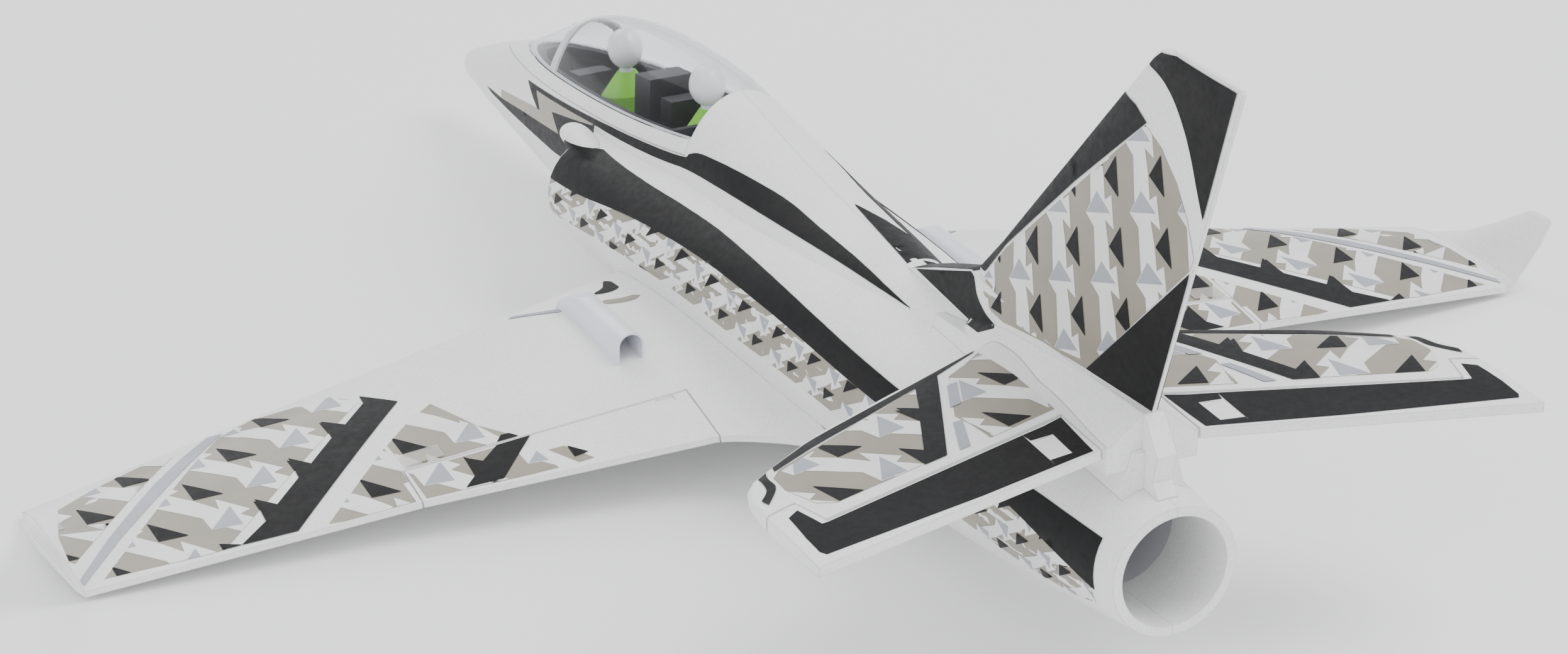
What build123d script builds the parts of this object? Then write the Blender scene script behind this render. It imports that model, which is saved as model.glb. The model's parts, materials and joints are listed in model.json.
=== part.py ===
from build123d import *
import os
from math import atan, cos, degrees, pi, sin

os.makedirs("parts", exist_ok=True)

# Foam ducted-fan sport jet, two seats, 750 mm span.  Millimetres, +Z up.
# Nose to -Y, tail to +Y, pilot's left to +X.  The origin is on the belly rest
# plane, on the centre plane, half way between the nose tip and the fin's rear tip.

# ---- driving dimensions ----------------------------------------------------
NOSE_Y, TAIL_Y = -366.0, 366.0       # ends of the whole aircraft
TIP_X = 375.0                        # outer face of the winglets
LIP_Y = -135.0                       # intake lips
RIM_Y = 334.0                        # exhaust rim
FOAM = 5.0                           # fuselage skin
GLAZE = 1.0                          # canopy moulding
GAP = 0.3                            # between parts that slide or lift apart
SILL_Z, SILL_Y, SILL_SLOPE = 83.0, -198.0, 0.143
CANOPY_REAR = -48.0
HATCH_DROP = 7.0                     # hatch frame depth under the sill
FAN_Y, FAN_Z = 97.0, 56.0            # fan disc centre
FAN_R = 27.5                         # plenum ahead of the fan
RIM_Z, RIM_R, BORE_R = 58.2, 27.7, 23.5
WALL = 4.0                           # intake lip thickness
REST = 3.0                           # drawing datum above the belly rest plane

# Fuselage pod with canopy: y, half width, widest height, top, bottom
POD = [
    (-366, 2.5, 32, 34.5, 29.5),
    (-362, 5.6, 32, 37.5, 26.5),
    (-348, 9.8, 33.5, 44, 25),
    (-318, 14.8, 38, 56.5, 23.5),
    (-293, 18, 41.5, 66, 21),
    (-268, 21, 45, 76.5, 19),
    (-243, 24, 49, 89, 17),
    (-213, 27.3, 53.5, 104.5, 14.5),
    (-183, 30.2, 57.5, 115, 12.5),
    (-153, 32.6, 60.5, 122, 10.5),
    (-123, 34.4, 63.5, 125.8, 9),
    (-93, 35, 66.5, 127.2, 7),
    (-65, 34, 70, 126, 5.5),
    (-40, 31, 74, 122, 5),
]
# Nacelle body: y, half width, widest height, belly, shoulder height, crown
HULL = [
    (-135, 58, 49, 10, 76, 82),
    (-88, 58.5, 53, 2.5, 79, 88),
    (-40, 56.5, 56.5, -2, 81, 94),
    (10, 54, 58.5, -4.2, 83.5, 96),
    (60, 50.5, 58.5, -4.2, 86, 97),
    (110, 46.5, 57.5, 0.5, 87, 97),
    (160, 42.5, 56, 7.5, 87, 96),
    (210, 38.5, 54.5, 13, 85, 93),
    (260, 34.6, 55, 19.5, 81, 89.5),
    (305, 30.6, 57, 26.4, 79, 87.6),
    (334, 27.7, 58.2, 30.5, 78, 85.9),
]
ROUND_FROM, ROUND_TO = 150.0, 300.0  # nacelle body turns into the round pipe
# Spine behind the canopy: y, half width, base height, top
SPINE = [
    (-48, 32.5, 72, 124.4),
    (-20, 33, 72, 119.5),
    (20, 33.5, 72, 112.5),
    (60, 32, 74, 107.5),
    (100, 28, 76, 105),
    (145, 20, 78, 103.5),
    (185, 13.5, 80, 99.5),
    (215, 9, 82, 94.5),
]


def closed_spline(points):
    return Wire([Spline(*[Vector(*p) for p in points], periodic=True)])


def pod_ring(row, inset=0.0):
    y, half, mid, top, bottom = row
    points = []
    for k in range(20):
        a = 2 * pi * k / 20
        c, s = cos(a), sin(a)
        low = 2.35 if s < 0 else 2.0
        x = max(half - inset, 0.6) * (1 if c >= 0 else -1) * abs(c) ** (2 / low)
        reach = (top - mid if s >= 0 else mid - bottom) - inset
        z = mid + max(reach, 0.6) * (1 if s >= 0 else -1) * abs(s) ** (2 / low)
        points.append((x, y, z))
    return closed_spline(points)


def hull_ring(row, inset=0.0):
    y, half, mid, belly, shoulder, crown = row
    t = min(max((y - ROUND_FROM) / (ROUND_TO - ROUND_FROM), 0.0), 1.0)
    drop = mid - belly
    right = [
        (0.0, crown),
        (0.30 * half, crown - 0.15 * (crown - shoulder)),
        (0.58 * half, crown - 0.55 * (crown - shoulder)),
        (0.82 * half, shoulder - 0.12 * (shoulder - mid)),
        (0.965 * half, shoulder - 0.52 * (shoulder - mid)),
        (half, mid),
        (0.93 * half, mid - 0.27 * drop),
        (0.76 * half, mid - 0.58 * drop),
        (0.48 * half, mid - 0.87 * drop),
        (0.20 * half, mid - 0.985 * drop),
        (0.0, belly),
    ]
    points = []
    for k, (x, z) in enumerate(right):
        a = pi / 2 - pi * k / 10
        rx, rz = half * cos(a), mid + (crown - mid if k < 5 else drop) * sin(a)
        points.append(((1 - t) * x + t * rx, (1 - t) * z + t * rz))
    ring = points + [(-x, z) for x, z in points[-2:0:-1]]
    out = []
    for x, z in ring:
        r = (x * x + (z - mid) ** 2) ** 0.5
        f = (r - inset) / r
        out.append((x * f, y, mid + (z - mid) * f))
    return closed_spline(out)


def arch_ring(row, inset=0.0):
    y, half, base, top = row
    points = []
    for k in range(16):
        a = 2 * pi * k / 16
        up = sin(a) >= 0
        reach = (top - base if up else 12.0) - inset
        points.append(((half - inset) * cos(a), y, base + reach * sin(a)))
    return closed_spline(points)


def loft_rings(rings, ruled=False):
    return Solid.make_loft(rings, ruled)


def block(x0, x1, y0, y1, z0, z1):
    size = (x1 - x0, y1 - y0, z1 - z0)
    return Pos((x0 + x1) / 2, (y0 + y1) / 2, (z0 + z1) / 2) * Box(*size)


def side_prism(points, x0, x1):
    """A (y, z) outline drawn across from x0 to x1."""
    face = make_face(Polyline(*[(x0, y, z) for y, z in points], close=True))
    return extrude(face, amount=x1 - x0, dir=(1, 0, 0))


def plan_prism(points, z0, z1):
    """An (x, y) outline drawn upward from z0 to z1."""
    face = make_face(Polyline(*[(x, y, z0) for x, y in points], close=True))
    return extrude(face, amount=z1 - z0, dir=(0, 0, 1))


def rod_y(radius, y0, y1, x, z):
    return Pos(x, (y0 + y1) / 2, z) * Rot(90, 0, 0) * Cylinder(radius, y1 - y0)


def rod_between(a, b, radius):
    start, end = Vector(*a), Vector(*b)
    plane = Plane(origin=start, z_dir=end - start)
    return Solid.make_cylinder(radius, (end - start).length, plane)


def mirrored(shape):
    return mirror(shape, about=Plane.YZ)


def sill(y, drop=0.0):
    return SILL_Z + SILL_SLOPE * (y - SILL_Y) - drop


def save(shape, name):
    shape = Pos(0, 0, REST) * shape
    shape.label = name
    export_step(shape, f"parts/{name}.step")
    solids = shape.solids()
    print(name, len(solids), round(sum(s.volume for s in solids)))


# ---- fuselage foam -----------------------------------------------------------
pod = loft_rings([pod_ring(r) for r in POD])
pod_bay = loft_rings([pod_ring(r, FOAM) for r in POD[3:13]])
pod_hatch_inner = loft_rings([pod_ring(r, 3.2) for r in POD[3:14]])
pod_glass_inner = loft_rings([pod_ring(r, GLAZE) for r in POD[2:14]])
pod_hoop_inner = loft_rings([pod_ring(r, GLAZE + 1.4) for r in POD[2:14]])

above_sill = side_prism(
    [(-400, sill(-400)), (CANOPY_REAR - GAP, sill(CANOPY_REAR)), (CANOPY_REAR - GAP, 200), (-400, 200)],
    -90, 90,
)
CUT_REAR = CANOPY_REAR + 1.0         # inside the spine's front end
hatch_cut = side_prism(
    [(-400, sill(-400, HATCH_DROP)), (CUT_REAR, sill(CUT_REAR, HATCH_DROP)), (CUT_REAR, 200), (-400, 200)],
    -90, 90,
)
hatch_zone = side_prism(
    [(-300, sill(-300, HATCH_DROP) + GAP), (CANOPY_REAR - GAP, sill(CANOPY_REAR, HATCH_DROP) + GAP),
     (CANOPY_REAR - GAP, sill(CANOPY_REAR)), (-300, sill(-300))],
    -90, 90,
)

hull = loft_rings([hull_ring(r) for r in HULL])
spine = loft_rings([arch_ring(r) for r in SPINE])

# Rounded cheek ahead of each intake, where nacelle and pod meet
CHEEK = [
    (-147, 43, 78, 1.0),
    (-145, 43, 78, 4.2),
    (-140, 43, 78.3, 6.8),
    (-130, 42.5, 77.5, 7.6),
    (-115, 42, 74, 6.5),
    (-100, 41, 70, 4),
]


def cheek_ring(row):
    y, x, z, r = row
    angles = [2 * pi * k / 12 for k in range(12)]
    return closed_spline([(x + r * 0.9 * cos(a), y, z + r * 0.72 * sin(a)) for a in angles])


cheek = loft_rings([cheek_ring(r) for r in CHEEK])

# Intake duct on one side: rings of (x, z) round a D shape that closes in on the fan
DUCT = [
    (-136, [
        (39.6, 67), (44, 67.5), (50, 61), (52.8, 50), (49, 39.5), (41.5, 31.5),
        (35.5, 27.5), (32.8, 29.5), (35.3, 37), (37.8, 46), (39.2, 57),
    ]),
    (-60, [
        (39.5, 71), (44.5, 70), (50, 62), (52, 52), (48, 40), (39.5, 26),
        (30.5, 16.8), (25.5, 17.5), (31.5, 30), (36, 45), (38.8, 59),
    ]),
    (-8, [
        (26, 79), (35.5, 77), (44, 67.5), (46.5, 56), (43, 42), (34.5, 28),
        (23, 17), (14, 17), (14, 33), (16, 50), (18, 67),
    ]),
    (50, [
        (-2, 83), (14, 80.5), (24.5, 70), (27, 56), (24.5, 41), (14, 31.5),
        (-2, 28.5), (-2, 38), (-2, 50), (-2, 62), (-2, 74),
    ]),
]


def duct_ring(row, grow=0.0):
    y, ring = row
    cx = sum(x for x, z in ring) / len(ring)
    cz = sum(z for x, z in ring) / len(ring)
    out = []
    for x, z in ring:
        r = ((x - cx) ** 2 + (z - cz) ** 2) ** 0.5
        out.append((cx + (x - cx) * (r + grow) / r, y, cz + (z - cz) * (r + grow) / r))
    return closed_spline(out)


duct = loft_rings([duct_ring(r) for r in DUCT])
plenum = rod_y(FAN_R, 46, FAN_Y - 14.5, 0, FAN_Z)
fan_bay = rod_y(29.6, FAN_Y - 15, FAN_Y + 21, 0, FAN_Z)


def pipe(stations):
    across = [(Plane(origin=(0, y, z), z_dir=(0, 1, 0)), r) for y, r, z in stations]
    return loft_rings([Wire(plane.location * Edge.make_circle(r)) for plane, r in across])


LINER_END = 292.0
liner_outer = pipe([(FAN_Y + 21, 28.4, FAN_Z), (190, 27.4, 56.4), (LINER_END, 24.9, 57.2)])
liner_inner = pipe([(FAN_Y + 20.9, 27.6, FAN_Z), (190, 26.6, 56.4), (LINER_END + 0.1, 24.1, 57.2)])
liner_bed = pipe([(FAN_Y + 20.9, 28.6, FAN_Z), (190, 27.6, 56.4), (LINER_END, 25.1, 57.2)])
rim_bore = pipe([(LINER_END - 0.1, 24.1, 57.2), (RIM_Y + 1, BORE_R, RIM_Z)])

# Tail block: pylon, saddle roof under the fin, and the neck onto the exhaust pipe
PYLON = [
    (112, 100), (145, 113.5), (176, 124.6), (200, 121.5), (255, 116.5), (314, 118),
    (325, 103.5), (322, 92), (329, 84), (112, 84),
]
pylon = side_prism(PYLON, -4.5, 4.5)


def roof_ring(y, wide, eave, half, top):
    ring = [(-wide, y, 95), (-wide, y, eave), (-half, y, top), (half, y, top), (wide, y, eave), (wide, y, 95)]
    return Wire(Polyline(*ring, close=True))


ROOF = [
    (178, 9, 100, 5, 104),
    (206, 16, 104, 5, 110),
    (252, 20, 106, 4.6, 114.5),
    (313.5, 20.6, 105, 4.6, 118),
]
roof = loft_rings([roof_ring(*row) for row in ROOF], ruled=True)
neck = loft_rings([
    Wire(Polyline((-17, 160, 80), (-12, 160, 100), (12, 160, 100), (17, 160, 80), close=True)),
    Wire(Polyline((-15, 316, 80), (-9, 316, 103), (9, 316, 103), (15, 316, 80), close=True)),
])

LEFT = block(0, 200, -400, 400, -REST, 400)
hull_spine = hull + spine
half = (hull_spine + (pod - hatch_cut)) & LEFT
for hollow in (pod_bay, duct, plenum, fan_bay, liner_bed, rim_bore):
    half = half - hollow

# Pocket of the elevator servo, under the tail block
servo_bay = block(-4.7, 4.7, 214, 238, 85.2, 99.0)
half = half - servo_bay


def pod_half(y, z, inset=0.0):
    """Half width of the pod skin, or of a wall inset from it, above its widest line."""
    for a, b in zip(POD, POD[1:]):
        if a[0] <= y <= b[0]:
            t = (y - a[0]) / (b[0] - a[0])
            wide, mid, top = [a[k] + (b[k] - a[k]) * t for k in (1, 2, 3)]
            rise = max(0.0, z - mid) / (top - inset - mid)
            return (wide - inset) * max(0.0, 1 - rise ** 2) ** 0.5
    return 0.0


# Hatch magnets: four in the hatch frame, four in the foam right below them
magnets_up, magnets_down = None, None
for y in (-186.0, -96.0):
    x = pod_half(y, sill(y, HATCH_DROP)) - 1.75
    for side in (1, -1):
        a, b = y - 4, y + 4
        up, down = [
            side_prism(
                [(a, sill(a, low)), (b, sill(b, low)), (b, sill(b, top)), (a, sill(a, top))],
                side * x - 0.9, side * x + 0.9,
            )
            for low, top in ((HATCH_DROP - GAP, HATCH_DROP - GAP - 2), (HATCH_DROP + 2, HATCH_DROP))
        ]
        magnets_up = up if magnets_up is None else magnets_up + up
        magnets_down = down if magnets_down is None else magnets_down + down
half = half - magnets_down
save(half, "fuselage_left")
save(mirrored(half), "fuselage_right")
cheek_piece = cheek - hull_spine - pod
save(cheek_piece, "intake_cheek_left")
save(mirrored(cheek_piece), "intake_cheek_right")

# ---- canopy hatch ------------------------------------------------------------
frame = (pod & hatch_zone) - pod_hatch_inner - magnets_up
save(frame, "hatch_frame")
glass = (pod & above_sill) - pod_glass_inner
save(glass, "canopy_glazing")
hoop_zone = block(-60, 60, -214, -205.5, 40, 140) & above_sill
hoop = (loft_rings([pod_ring(r, GLAZE + 0.25) for r in POD[4:10]]) & hoop_zone) - pod_hoop_inner
save(hoop, "canopy_hoop")

tub_outer = loft_rings([pod_ring(r, 5.5) for r in POD[5:13]])
tub_inner = loft_rings([pod_ring(r, 6.7) for r in POD[5:13]])
tub_zone = side_prism(
    [(-262, sill(-262, 22)), (-70, sill(-70, 22)), (-70, sill(-70, 0.6)), (-262, sill(-262, 0.6))], -60, 60
)
tub_core = side_prism(
    [(-258, sill(-258, 20.8)), (-74, sill(-74, 20.8)), (-74, sill(-74, -5)), (-258, sill(-258, -5))], -60, 60
)
flange_zone = side_prism(
    [(-262, sill(-262, 2.2)), (-52, sill(-52, 2.2)), (-52, sill(-52, 0.6)), (-262, sill(-262, 0.6))], -60, 60
)
flange_outer = loft_rings([pod_ring(r, 3.27) for r in POD[3:14]])


def rim_outline(wall):
    """Plan of the bay's rim: the tub lifts straight up through it, so it is no wider."""
    stations = range(-262, -69, 12)
    edge = [(pod_half(y, sill(y, HATCH_DROP), FOAM) - wall, y) for y in stations]
    return plan_prism(edge + [(-x, y) for x, y in reversed(edge)], 20, 140)


tub = (tub_outer & tub_zone & rim_outline(0.9)) + ((flange_outer & flange_zone) & tub_zone)
tub = tub - (tub_inner & tub_core & rim_outline(2.1))
save(tub, "cockpit_tub")
save(magnets_up, "hatch_magnets")
save(magnets_down, "fuselage_magnets")


def on_tub(y):
    return sill(y, 20.8)


HEADS = [(-173.0, 102.0), (-83.0, 114.6)]
heads, bodies = None, None
for y, z in HEADS:
    head = Pos(0, y, z) * scale(Sphere(8.5), by=(1, 1, 1.16))
    neck_post = Pos(0, y + 0.5, z - 10.5) * Cylinder(3.2, 4)
    head = head + neck_post
    low = on_tub(y + 8) + 0.15
    shoulders = Pos(0, y + 1, z - 16.4) * scale(Cone(12.6, 4.6, 11), by=(1, 0.6, 1))
    chest = Pos(0, y + 1, (z - 21.9 + low) / 2) * scale(Cylinder(12.6, z - 21.9 - low), by=(1, 0.6, 1))
    shape = (shoulders + chest) - neck_post
    heads = head if heads is None else heads + head
    bodies = shape if bodies is None else bodies + shape
save(heads, "pilot_heads")
save(bodies, "pilot_bodies")


def on_floor(x, y0, y1, height, tilt=0.0):
    """A block standing on the sloping cockpit floor."""
    z0, z1 = on_tub(y0), on_tub(y1)
    outline = [(y0, z0 + 0.1), (y1, z1 + 0.1), (y1 + tilt, z1 + height), (y0 + tilt, z0 + height)]
    return side_prism(outline, -x, x)


save(on_floor(11, -140, -123, 32.5, 2), "front_seat")
save(on_floor(10, -113, -101, 25.5, 1), "rear_instrument_hood")
save(on_floor(9, -222, -210, 17, 2), "front_instrument_panel")

# ---- fan unit ------------------------------------------------------------------
shroud = rod_y(29.5, FAN_Y - 14.5, FAN_Y + 20.5, 0, FAN_Z) - rod_y(27.9, FAN_Y - 15, FAN_Y + 21, 0, FAN_Z)
mount_tube = rod_y(12.4, FAN_Y + 5.5, FAN_Y + 20.5, 0, FAN_Z) - rod_y(11.2, FAN_Y + 5, FAN_Y + 21, 0, FAN_Z)
mount_plate = rod_y(12.4, FAN_Y + 5.5, FAN_Y + 7.0, 0, FAN_Z) - rod_y(2.2, FAN_Y + 5, FAN_Y + 8, 0, FAN_Z)
stators = None
for k in range(5):
    turn = Pos(0, FAN_Y + 13, FAN_Z) * Rot(0, 72 * k + 36, 0)
    vane = turn * Pos(0, 0, 20.3) * Rot(0, 0, 8) * Box(1.4, 14, 16.6)
    stators = vane if stators is None else stators + vane
save(shroud + mount_tube + mount_plate + stators, "fan_housing")

motor = rod_y(11.0, FAN_Y + 7.0, FAN_Y + 33, 0, FAN_Z) - rod_y(1.58, FAN_Y + 6.9, FAN_Y + 34, 0, FAN_Z)
save(motor, "motor")
shaft = rod_y(1.5, FAN_Y - 9, FAN_Y + 31, 0, FAN_Z)
save(shaft, "motor_shaft")
FROM_BASE = (Align.CENTER, Align.CENTER, Align.MIN)
cone = Pos(0, FAN_Y + 33, FAN_Z) * Rot(-90, 0, 0) * Cone(11.0, 3.0, 22, align=FROM_BASE)
save(cone, "motor_tail_cone")

hub = rod_y(11.6, FAN_Y - 8, FAN_Y + 4.6, 0, FAN_Z)
blades = None
for k in range(6):
    turn = Pos(0, FAN_Y - 1.7, FAN_Z) * Rot(0, 60 * k, 0)
    blade = turn * Pos(0, 0, 19.0) * Rot(0, 0, 38) * Box(1.5, 12, 16.2)
    blades = blade if blades is None else blades + blade
bound = rod_y(27.2, FAN_Y - 9, FAN_Y + 5, 0, FAN_Z)
rotor = (hub + (blades & bound)) - rod_y(1.5, FAN_Y - 9.5, FAN_Y + 6, 0, FAN_Z)
save(rotor, "fan_rotor")
spinner = Pos(0, FAN_Y - 19.6, FAN_Z) * Rot(-90, 0, 0) * Cone(1.2, 11.4, 11.6, align=FROM_BASE)
spinner = spinner - rod_y(1.5, FAN_Y - 9.4, FAN_Y - 8, 0, FAN_Z)
save(spinner, "fan_spinner")
save(liner_outer - liner_inner, "exhaust_liner")

# ---- equipment in the pod bay ----------------------------------------------------
def tray_top(y):
    return 31.1 - 0.0686 * (y + 262)


def on_tray(x, y0, y1, height, lift=0.0):
    """A box lying on the sloping equipment tray."""
    z0, z1 = tray_top(y0) + lift, tray_top(y1) + lift
    return side_prism([(y0, z0), (y1, z1), (y1, z1 + height), (y0, z0 + height)], -x, x)


tray = on_tray(60, -262, -88, 2.0, -2.0) & loft_rings([pod_ring(r, FOAM + 0.06) for r in POD[3:13]])
strap_slot = on_tray(16.5, -212, -196, 4, -3) - on_tray(15, -213, -195, 5, -3.5)
save(tray - strap_slot, "equipment_tray")
save(on_tray(13, -236, -172, 18.4), "flight_battery")
strap = on_tray(14.2, -210, -198, 19.6) - on_tray(13.05, -211, -197, 18.5)
save(strap, "battery_strap")
save(on_tray(12, -164, -130, 7.5), "speed_controller")
save(on_tray(10, -122, -94, 12), "receiver")
save(block(-4.4, 4.4, 215, 237, 85.4, 98.8), "elevator_servo")


# ---- wings -------------------------------------------------------------------
def lead_y(x):
    return -80.4 + 0.159 * x


def lead_z(x):
    return 31.2 - 0.1157 * (x - 79)


TRAIL = [(40, 125.5), (49, 117.0), (57, 108.0), (66, 99.8), (73, 94.4), (79, 91.0), (206, 71.0), (352, 60.2)]


def trail_y(x):
    for (x0, y0), (x1, y1) in zip(TRAIL, TRAIL[1:]):
        if x <= x1:
            return y0 + (y1 - y0) * (x - x0) / (x1 - x0)
    return TRAIL[-1][1]


def trail_z(x):
    return 26.4 - 0.0953 * (x - 79)


# Half thickness along the chord, from the trailing edge forward
WING_FORM = [
    (1.0, 0.0), (0.86, 0.30), (0.68, 0.62), (0.5, 0.88),
    (0.33, 1.0), (0.18, 0.92), (0.07, 0.64), (0.02, 0.34),
]
PLATE_FORM = [(1.0, 0.0), (0.85, 0.35), (0.62, 0.85), (0.4, 1.0), (0.2, 0.98), (0.08, 0.78), (0.02, 0.42)]


def wing_thick(x):
    return 17.0 - (x - 49) * 0.029


def foil(origin, front, rear, up, thick, edge, camber=0.015, form=WING_FORM):
    """A section wire: front and rear are (along, height) in the plane of the Y axis and up."""
    chord = rear[0] - front[0]
    top, low = [], []
    for t, h in form:
        line = front[1] + (rear[1] - front[1]) * t + camber * chord * 4 * t * (1 - t)
        reach = (thick / 2) * h + (edge / 2) * t ** 3
        y = front[0] + chord * t
        top.append(origin + Vector(0, y, 0) + up * (line + reach))
        low.append(origin + Vector(0, y, 0) + up * (line - reach * 0.92))
    nose = origin + Vector(0, front[0], 0) + up * front[1]
    return Wire([Spline(*top, nose, *low[::-1]), Line(low[0], top[0])])


UP = Vector(0, 0, 1)


def wing_ring(x):
    front, rear = (lead_y(x), lead_z(x)), (trail_y(x), trail_z(x))
    return foil(Vector(x, 0, 0), front, rear, UP, wing_thick(x), 3.0)


wing_full = loft_rings([wing_ring(x) for x in (40, 49, 57, 66, 73, 79, 206, 352)], ruled=True)


def surface_z(x, y, thick):
    t = (y - lead_y(x)) / (trail_y(x) - lead_y(x))
    h = 0.30 * (1 - t) / 0.14 if t > 0.86 else 0.62 - 0.32 * (t - 0.68) / 0.18
    chord = trail_y(x) - lead_y(x)
    line = lead_z(x) + (trail_z(x) - lead_z(x)) * t + 0.015 * chord * 4 * t * (1 - t)
    return line + thick / 2 * h + 1.5 * t ** 3


HINGE_DEEP = 1.7
A_IN = (76.6, 54.0, surface_z(76.6, 54.0, wing_thick(76.6)) - HINGE_DEEP)
A_OUT = (205.2, 46.4, surface_z(205.2, 46.4, wing_thick(205.2)) - HINGE_DEEP)


def hinge_plane(a, b):
    """X along the hinge from root to tip, Y to the rear, Z up."""
    axis = (Vector(*b) - Vector(*a)).normalized()
    normal = Vector(0, 0, 1)
    rear = normal.cross(axis).normalized()
    up = axis.cross(rear).normalized()
    return Plane(origin=Vector(*a), x_dir=axis, z_dir=up), (Vector(*b) - Vector(*a)).length


def hinge_prism(plane, outline, x0, x1):
    """An outline of (rear, up) points swept along the hinge."""
    pts = [plane.from_local_coords(Vector(x0, r, u)) for r, u in outline]
    face = make_face(Polyline(*pts, close=True))
    return extrude(face, amount=x1 - x0, dir=plane.x_dir)


MOVING = [(1.2, 16), (1.2, 1.9), (0.35, 0.3), (0.35, -0.4), (7.0, -12), (90, -12), (90, 16)]
FIXED = [(-0.2, 16), (-0.2, -16), (95, -16), (95, 16)]
a_plane, a_len = hinge_plane(A_IN, A_OUT)
a_bay = hinge_prism(a_plane, FIXED, -0.6, a_len + 0.6)
a_body = hinge_prism(a_plane, MOVING, 0.0, a_len)
PIN_R, PIN_BORE = 0.6, 0.66


def along(plane, s0, s1, radius):
    """A rod on the hinge line between two distances from its root."""
    a = plane.from_local_coords(Vector(s0, 0, 0))
    return rod_between(a, plane.from_local_coords(Vector(s1, 0, 0)), radius)


pin_in, pin_out = along(a_plane, -8, 9, PIN_R), along(a_plane, a_len - 9, a_len + 8, PIN_R)
bore_in, bore_out = along(a_plane, -1, 9.4, PIN_BORE), along(a_plane, a_len - 9.4, a_len + 1, PIN_BORE)
aileron = (wing_full & a_body) - bore_in - bore_out
horn_pad = Pos(87.6, 61.2, 33.4) * Rot(0, 5.5, 0) * Box(8.5, 12.5, 3.0)
aileron = aileron - horn_pad

SERVO_X, SERVO_Y = 88.0, -20.0
servo_pocket = block(SERVO_X - 4.6, SERVO_X + 4.6, SERVO_Y - 12.2, SERVO_Y + 11.2, 27.6, 60)
SPAR_IN, SPAR_OUT = 62.0, 225.0
spar = rod_between(
    (SPAR_IN, lead_y(SPAR_IN) + 66, lead_z(SPAR_IN) + 1.6),
    (SPAR_OUT, lead_y(SPAR_OUT) + 42, lead_z(SPAR_OUT) + 0.9), 2.0,
)
wing = wing_full - hull - a_bay - pin_in - pin_out - servo_pocket - spar
save(wing, "wing_left")
save(mirrored(wing), "wing_right")
save(aileron, "aileron_left")
save(mirrored(aileron), "aileron_right")
save(spar, "wing_spar_left")
save(mirrored(spar), "wing_spar_right")
pins = pin_in + pin_out
save(pins, "aileron_pins_left")
save(mirrored(pins), "aileron_pins_right")

servo = block(SERVO_X - 4.2, SERVO_X + 4.2, SERVO_Y - 11.8, SERVO_Y + 10.8, 27.8, 42)
boss = Pos(SERVO_X, SERVO_Y + 5, 43.0) * Cylinder(2.2, 2.0)
save(servo + boss, "aileron_servo_left")
save(mirrored(servo + boss), "aileron_servo_right")
lever = block(SERVO_X - 1.4, SERVO_X + 1.4, SERVO_Y - 6, SERVO_Y + 5, 44.3, 45.7)
arm = Pos(SERVO_X, SERVO_Y + 5, 45.0) * Cylinder(2.6, 1.4) + lever
arm = arm - Pos(SERVO_X, SERVO_Y - 4, 45) * Cylinder(0.6, 4)
save(arm, "aileron_servo_arm_left")
save(mirrored(arm), "aileron_servo_arm_right")

# Servo fairing: a thin arched tunnel, closed at the front and open at the rear
F_X, F_W, F_TOP, F_Y0, F_Y1 = 88.0, 6.3, 50.2, -45.0, 22.5


def arch(half_w, y0, y1, z_top):
    axis_z = z_top - half_w
    return block(F_X - half_w, F_X + half_w, y0, y1, 24, axis_z) + rod_y(half_w, y0, y1, F_X, axis_z)


def fairing_side(inset):
    top = F_TOP + 0.2 - inset
    rise = [(0, 37 - inset), (3, 41 - inset), (11, 46.4 - inset), (24, top)]
    end = F_Y1 + 2 * inset
    nose = [(F_Y0 + inset + d, z) for d, z in rise]
    return side_prism([(F_Y0 + inset, 24)] + nose + [(end, top), (end, 24)], 60, 120)


tunnel = arch(F_W, F_Y0, F_Y1, F_TOP) & fairing_side(0.0)
tunnel = tunnel - (arch(F_W - 0.9, F_Y0, F_Y1 + 1, F_TOP - 0.9) & fairing_side(1.0))
foot = block(F_X - 9, F_X - F_W + 0.4, F_Y1 - 0.8, F_Y1, 24, 36.5)
fairing = (tunnel + foot) - wing_full
fairing = max(fairing.solids(), key=lambda solid: solid.volume)
save(fairing, "servo_fairing_left")
save(mirrored(fairing), "servo_fairing_right")

# Winglet: a canted fin growing out of the wing tip, rows of
# x, height of the section, front y, rear y, lean of the span direction, thickness
WINGLET = [
    (355.6, 4.2, -7, 60.8, 45, 6.2),
    (360.4, 11.5, 13, 61.8, 58, 4.8),
    (366.4, 21.5, 30, 63.0, 59, 3.8),
    (372.6, 31.6, 45, 62.5, 59, 2.8),
    (373.4, 32.8, 49, 60.5, 59, 1.4),
]


def winglet_ring(x, z, front, rear, lean, thick):
    up = Vector(-sin(lean * pi / 180), 0, cos(lean * pi / 180))
    return foil(Vector(x, 0, z), (front, 0), (rear, 0), up, thick, 1.6, 0.0)


winglet = loft_rings([wing_ring(352)] + [winglet_ring(*row) for row in WINGLET], ruled=True)
save(winglet, "winglet_left")
save(mirrored(winglet), "winglet_right")

# ---- tail surfaces ---------------------------------------------------------------
# Stabilizer with elevators: x, leading edge y, thickness
STAB = [
    (-1, 203.5, 9.2),
    (12, 204, 9.2),
    (20, 207.5, 9),
    (70, 227.5, 8.7),
    (110, 244.7, 8.4),
    (135, 260, 8.2),
    (150, 270, 8),
    (156, 277, 7.6),
    (159.2, 285, 7),
    (160.6, 296, 6),
]


def stab_rear(x):
    return 307.35 + 0.2406 * x


def stab_ring(x, front, thick):
    z = 103.5 - 0.025 * (abs(x) - 23)
    return foil(Vector(x, 0, 0), (front, z), (stab_rear(x), z), UP, thick, 4.4, 0.0, PLATE_FORM)


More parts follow.
